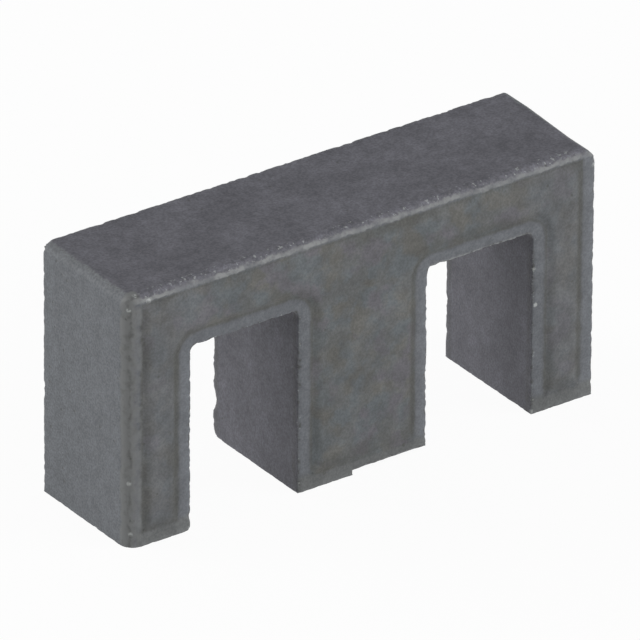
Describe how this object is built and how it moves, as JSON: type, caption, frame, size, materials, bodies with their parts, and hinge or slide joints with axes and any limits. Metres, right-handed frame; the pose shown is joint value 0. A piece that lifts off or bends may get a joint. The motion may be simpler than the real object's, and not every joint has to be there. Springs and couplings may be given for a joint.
{
  "type": "ferrite e core",
  "caption": "E-shaped soft ferrite core with a centre leg between outer legs, whose two windows hold a coil former; its ground leg tips mate with a like core to close the magnetic path.",
  "frame": {"origin": "middle of the plane of the three ground leg tips", "axes": "+X along the length over the outer legs, +Y from the front E face to the rear E face, +Z from the leg tips up to the back"},
  "size_m": [0.0202, 0.0054, 0.01],
  "materials": {
    "sintered_ferrite": "satin dark grey sintered ceramic with fine grain and small pits"
  },
  "bodies": {
    "root": {"e_core": "sintered_ferrite"}
  },
  "joints": []
}
